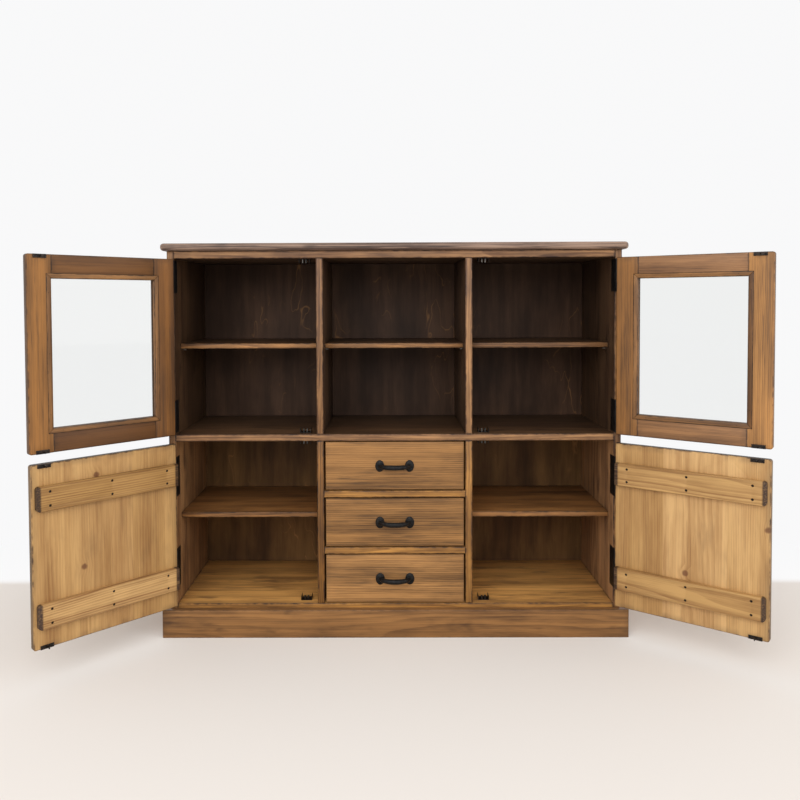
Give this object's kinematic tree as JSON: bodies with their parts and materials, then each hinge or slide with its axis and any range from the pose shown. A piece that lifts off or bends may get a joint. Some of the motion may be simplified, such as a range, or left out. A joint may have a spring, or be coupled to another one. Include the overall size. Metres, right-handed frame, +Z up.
{
  "type": "kitchen cabinet",
  "caption": "Low wooden kitchen cabinet with glazed upper doors, plank lower doors, open shelved bays and a stack of drawers in the middle, on a plinth.",
  "frame": {"origin": "on the floor, under the middle of the front plinth board's thickness and length", "axes": "+X to the cabinet's right as seen from its front, +Y from the front to the back, +Z up"},
  "size_m": [1.7017, 0.6222, 1.02],
  "materials": {
    "case_wood": "stained and waxed pine, open grain",
    "top_wood": "dark stained pine, satin",
    "plinth_wood": "stained pine, satin",
    "shelf_wood": "stained pine, satin",
    "back_plywood": "dark stained plywood",
    "stile_wood": "stained pine, satin",
    "door_rail_wood": "stained pine, satin",
    "bead_wood": "stained pine strip",
    "plank_wood": "honey stained pine",
    "batten_wood": "honey stained pine",
    "drawer_front_wood": "brushed and stained pine",
    "drawer_box_wood": "plain pine",
    "drawer_plywood": "plain plywood",
    "pane_glass": "clear flat glass",
    "handle_iron": "black forged iron, satin",
    "hinge_iron": "black lacquered steel",
    "catch_steel": "dark bronzed steel",
    "roller_steel": "bright steel",
    "pin_steel": "nickelled steel",
    "screw_steel": "browned steel"
  },
  "bodies": {
    "cabinet": {"back_panel": "back_plywood", "bottom_board": "case_wood", "case_hinge_leaves": "hinge_iron", "catch_frames": "catch_steel", "catch_rollers": "roller_steel", "dividers_lower": "case_wood", "dividers_upper": "case_wood", "drawer_rails": "case_wood", "drawer_runners": "case_wood", "mid_shelf": "case_wood", "plinth_front": "plinth_wood", "plinth_sides": "plinth_wood", "shelf_lower_left": "shelf_wood", "shelf_lower_right": "shelf_wood", "shelf_pins": "pin_steel", "shelf_upper_center": "shelf_wood", "shelf_upper_left": "shelf_wood", "shelf_upper_right": "shelf_wood", "side_panel_left": "case_wood", "side_panel_right": "case_wood", "top_board": "top_wood", "top_panel": "case_wood"},
    "door_upper_left": {"door_upper_left_beads": "bead_wood", "door_upper_left_glass": "pane_glass", "door_upper_left_handle": "handle_iron", "door_upper_left_hinge_leaves": "hinge_iron", "door_upper_left_rails": "door_rail_wood", "door_upper_left_stiles": "stile_wood", "door_upper_left_strikes": "catch_steel"},
    "door_upper_right": {"door_upper_right_beads": "bead_wood", "door_upper_right_glass": "pane_glass", "door_upper_right_handle": "handle_iron", "door_upper_right_hinge_leaves": "hinge_iron", "door_upper_right_rails": "door_rail_wood", "door_upper_right_stiles": "stile_wood", "door_upper_right_strikes": "catch_steel"},
    "door_lower_left": {"door_lower_left_batten_screws": "screw_steel", "door_lower_left_battens": "batten_wood", "door_lower_left_handle": "handle_iron", "door_lower_left_hinge_leaves": "hinge_iron", "door_lower_left_planks": "plank_wood", "door_lower_left_strikes": "catch_steel"},
    "door_lower_right": {"door_lower_right_batten_screws": "screw_steel", "door_lower_right_battens": "batten_wood", "door_lower_right_handle": "handle_iron", "door_lower_right_hinge_leaves": "hinge_iron", "door_lower_right_planks": "plank_wood", "door_lower_right_strikes": "catch_steel"},
    "drawer_upper": {"drawer_upper_bottom": "drawer_plywood", "drawer_upper_box": "drawer_box_wood", "drawer_upper_front": "drawer_front_wood", "drawer_upper_handle": "handle_iron"},
    "drawer_middle": {"drawer_middle_bottom": "drawer_plywood", "drawer_middle_box": "drawer_box_wood", "drawer_middle_front": "drawer_front_wood", "drawer_middle_handle": "handle_iron"},
    "drawer_lower": {"drawer_lower_bottom": "drawer_plywood", "drawer_lower_box": "drawer_box_wood", "drawer_lower_front": "drawer_front_wood", "drawer_lower_handle": "handle_iron"}
  },
  "joints": [
    {"name": "door_upper_left_hinge", "type": "hinge", "parent": "cabinet", "child": "door_upper_left", "pos_m": [-0.571, 0.0045, 0.7535], "axis": [0, 0, -1], "range_deg": [-135.3, 44.7]},
    {"name": "door_lower_left_hinge", "type": "hinge", "parent": "cabinet", "child": "door_lower_left", "pos_m": [-0.571, 0.0045, 0.2955], "axis": [0, 0, -1], "range_deg": [-134.6, 45.4]},
    {"name": "door_upper_right_hinge", "type": "hinge", "parent": "cabinet", "child": "door_upper_right", "pos_m": [0.571, 0.0045, 0.7535], "axis": [0, 0, 1], "range_deg": [-144.7, 35.3]},
    {"name": "door_lower_right_hinge", "type": "hinge", "parent": "cabinet", "child": "door_lower_right", "pos_m": [0.571, 0.0045, 0.2955], "axis": [0, 0, 1], "range_deg": [-143.5, 36.5]},
    {"name": "drawer_upper_slide", "type": "slide", "parent": "cabinet", "child": "drawer_upper", "axis": [0, -1, 0], "range_m": [0, 0.25]},
    {"name": "drawer_middle_slide", "type": "slide", "parent": "cabinet", "child": "drawer_middle", "axis": [0, -1, 0], "range_m": [0, 0.25]},
    {"name": "drawer_lower_slide", "type": "slide", "parent": "cabinet", "child": "drawer_lower", "axis": [0, -1, 0], "range_m": [0, 0.25]}
  ]
}
